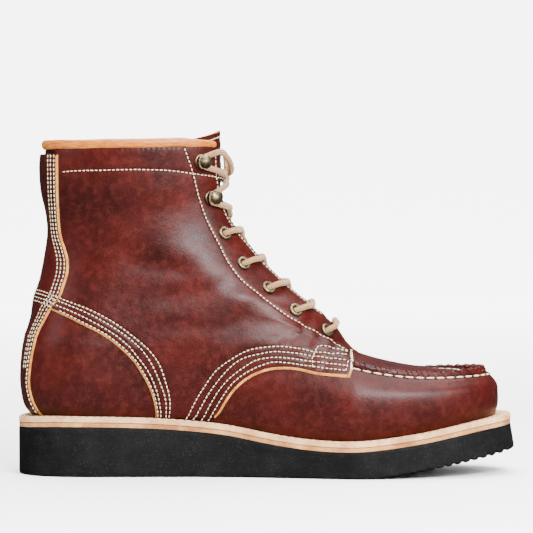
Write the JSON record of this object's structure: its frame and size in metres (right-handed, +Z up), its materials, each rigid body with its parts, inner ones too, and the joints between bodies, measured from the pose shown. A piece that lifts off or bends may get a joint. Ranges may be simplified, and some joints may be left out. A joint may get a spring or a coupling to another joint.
{
  "type": "moc toe work boot",
  "caption": "Six inch lace-up work boot for the right foot: hollow leather upper with a raised moc seam, padded-edge collar, eyelets and hooks, on a welted wedge sole.",
  "frame": {"origin": "on the floor, under the middle of the boot's box", "axes": "+X towards the toe, +Z up, the outer (lateral) side of the right boot at -Y"},
  "size_m": [0.3052, 0.11, 0.21],
  "materials": {
    "upper_leather": "smooth oiled full-grain, dark red-brown, soft shine",
    "binding_leather": "smooth golden tan, rolled edge",
    "rubber_outsole": "matte black expanded rubber, ground sides",
    "midsole_leather": "raw cut edge, tan",
    "welt_leather": "raw cut edge, pale natural",
    "insole_leather": "natural vegetable-tanned",
    "aged_brass": "antiqued brass, worn bright on the rims",
    "lace_cord": "round braided cord, tan"
  },
  "bodies": {
    "root": {"outsole": "rubber_outsole", "midsole": "midsole_leather", "welt": "welt_leather", "insole": "insole_leather", "upper": "upper_leather", "quarter_lateral": "upper_leather", "quarter_medial": "upper_leather", "backstay": "upper_leather", "tongue": "upper_leather", "collar_binding": "binding_leather", "eyelet_1_lateral": "aged_brass", "eyelet_1_medial": "aged_brass", "eyelet_2_lateral": "aged_brass", "eyelet_2_medial": "aged_brass", "eyelet_3_lateral": "aged_brass", "eyelet_3_medial": "aged_brass", "eyelet_4_lateral": "aged_brass", "eyelet_4_medial": "aged_brass", "eyelet_5_lateral": "aged_brass", "eyelet_5_medial": "aged_brass", "lace_hook_1_lateral": "aged_brass", "lace_hook_1_medial": "aged_brass", "lace_hook_2_lateral": "aged_brass", "lace_hook_2_medial": "aged_brass", "lace_cross_1": "lace_cord", "lace_cross_2": "lace_cord", "lace_cross_3": "lace_cord", "lace_cross_4": "lace_cord", "lace_cross_5": "lace_cord", "lace_cross_6": "lace_cord", "lace_cross_7": "lace_cord"}
  },
  "joints": []
}
